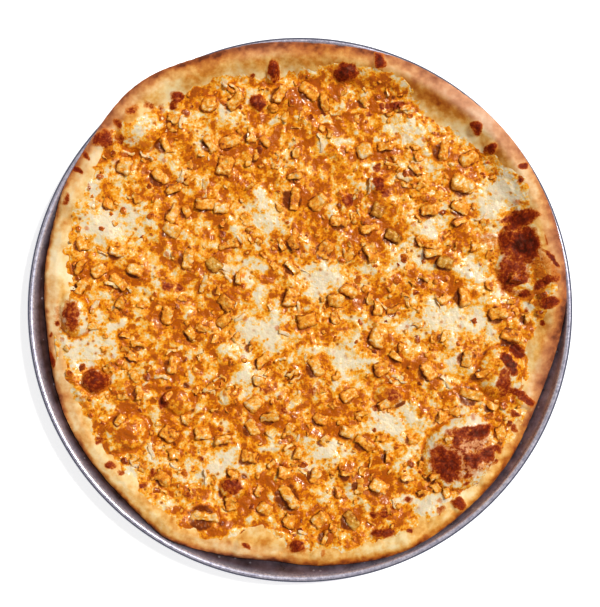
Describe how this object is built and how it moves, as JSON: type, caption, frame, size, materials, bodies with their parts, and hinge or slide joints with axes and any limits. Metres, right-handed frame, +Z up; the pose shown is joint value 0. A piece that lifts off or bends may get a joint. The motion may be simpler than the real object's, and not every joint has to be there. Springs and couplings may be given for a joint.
{
  "type": "chicken pizza in a round pan",
  "caption": "Large round pizza with melted cheese, orange sauce and diced chicken, baked in a shallow round metal pan with a tapered wall and rolled rim.",
  "frame": {"origin": "centre of the pan's flat underside, where it rests", "axes": "+Z up out of the pan, +Y towards the side where the crust laps over the rim, +X to the right of that seen from above"},
  "size_m": [0.42, 0.42, 0.0344],
  "materials": {
    "pan_metal": "spun sheet, satin, darkened by baking",
    "baked_dough": "baked wheat dough, pale gold with browned and charred blisters",
    "cheese_and_sauce": "melted cheese, cream to browned, under glossy orange sauce",
    "sauced_chicken": "diced cooked chicken coated in glossy orange sauce"
  },
  "bodies": {
    "root": {"pan": "pan_metal", "crust": "baked_dough", "cheese": "cheese_and_sauce", "chicken_01": "sauced_chicken", "chicken_02": "sauced_chicken", "chicken_03": "sauced_chicken", "chicken_04": "sauced_chicken", "chicken_05": "sauced_chicken", "chicken_06": "sauced_chicken", "chicken_07": "sauced_chicken", "chicken_08": "sauced_chicken", "chicken_09": "sauced_chicken", "chicken_10": "sauced_chicken", "chicken_11": "sauced_chicken", "chicken_12": "sauced_chicken", "chicken_13": "sauced_chicken", "chicken_14": "sauced_chicken", "chicken_15": "sauced_chicken", "chicken_16": "sauced_chicken", "chicken_17": "sauced_chicken", "chicken_18": "sauced_chicken", "chicken_19": "sauced_chicken", "chicken_20": "sauced_chicken", "chicken_21": "sauced_chicken", "chicken_22": "sauced_chicken", "chicken_23": "sauced_chicken", "chicken_24": "sauced_chicken", "chicken_25": "sauced_chicken", "chicken_26": "sauced_chicken", "chicken_27": "sauced_chicken", "chicken_28": "sauced_chicken", "chicken_29": "sauced_chicken", "chicken_30": "sauced_chicken", "chicken_31": "sauced_chicken", "chicken_32": "sauced_chicken", "chicken_33": "sauced_chicken", "chicken_34": "sauced_chicken", "chicken_35": "sauced_chicken", "chicken_36": "sauced_chicken", "chicken_37": "sauced_chicken", "chicken_38": "sauced_chicken", "chicken_39": "sauced_chicken", "chicken_40": "sauced_chicken", "chicken_41": "sauced_chicken", "chicken_42": "sauced_chicken", "chicken_43": "sauced_chicken", "chicken_44": "sauced_chicken", "chicken_45": "sauced_chicken", "chicken_46": "sauced_chicken", "chicken_47": "sauced_chicken", "chicken_48": "sauced_chicken", "chicken_49": "sauced_chicken", "chicken_50": "sauced_chicken", "chicken_51": "sauced_chicken", "chicken_52": "sauced_chicken", "chicken_53": "sauced_chicken"}
  },
  "joints": []
}
